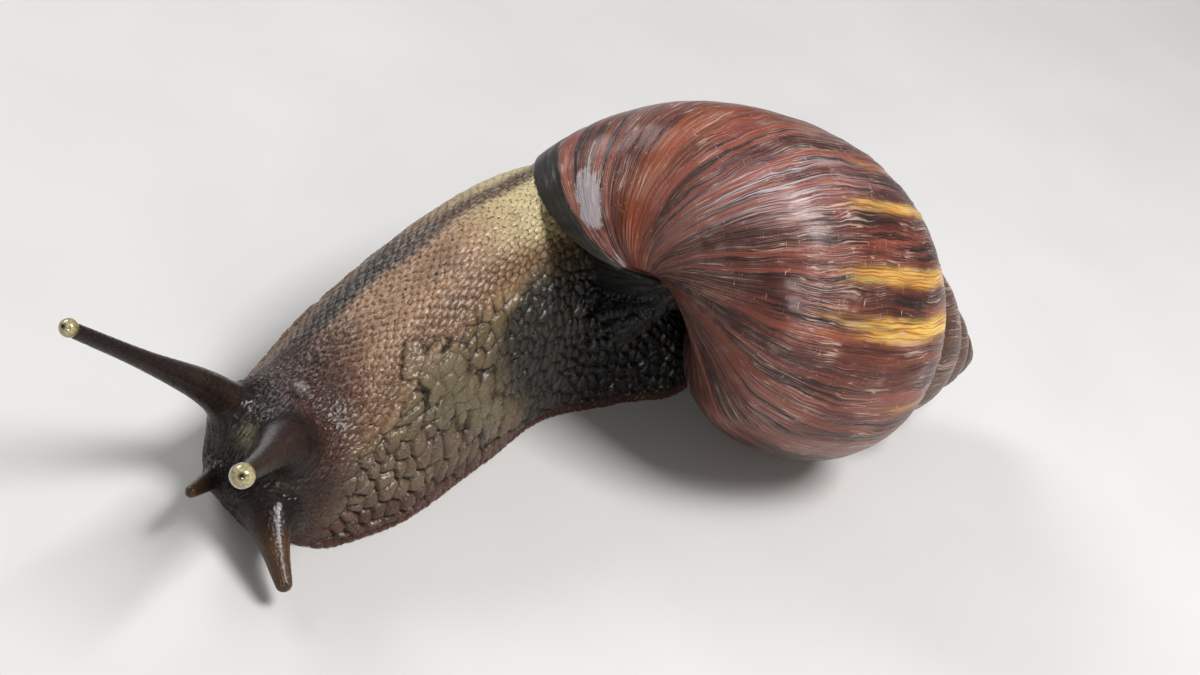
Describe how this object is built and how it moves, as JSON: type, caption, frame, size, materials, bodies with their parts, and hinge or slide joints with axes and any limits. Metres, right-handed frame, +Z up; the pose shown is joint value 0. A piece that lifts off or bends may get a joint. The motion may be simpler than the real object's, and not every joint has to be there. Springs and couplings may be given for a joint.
{
  "type": "giant african land snail model",
  "caption": "Life-size crawling giant African land snail, foot flat, neck and feelers stretched out, conical spiral shell leaning over its left side.",
  "frame": {"origin": "bottom centre of the bounding box, on the floor that the sole lies on", "axes": "-X the way the snail's head points, +X towards its tail, -Y its left side, +Z up"},
  "size_m": [0.1712, 0.0772, 0.0582],
  "materials": {
    "shell": "reddish brown shell with darker and yellow growth streaks, satin to glossy",
    "skin_dark": "wet, dark brown wrinkled skin of the head and feelers",
    "skin_pale": "wet, olive and tan skin in rows of raised tubercles",
    "skin_olive": "wet, olive-grey skin with coarse tubercles, near black by the shell",
    "foot": "wet, brown foot with a reddish hem",
    "mantle": "wet, dark grey mantle collar",
    "eye": "glossy, yellowish cream with a dark pupil"
  },
  "bodies": {
    "root": {"shell": "shell", "mantle_collar": "mantle", "head": "skin_dark", "neck": "skin_pale", "trunk": "skin_olive", "foot": "foot", "tail": "skin_olive", "upper_tentacle_right": "skin_dark", "upper_tentacle_left": "skin_dark", "lower_tentacle_right": "skin_dark", "lower_tentacle_left": "skin_dark", "eye_right": "eye", "eye_left": "eye"}
  },
  "joints": []
}
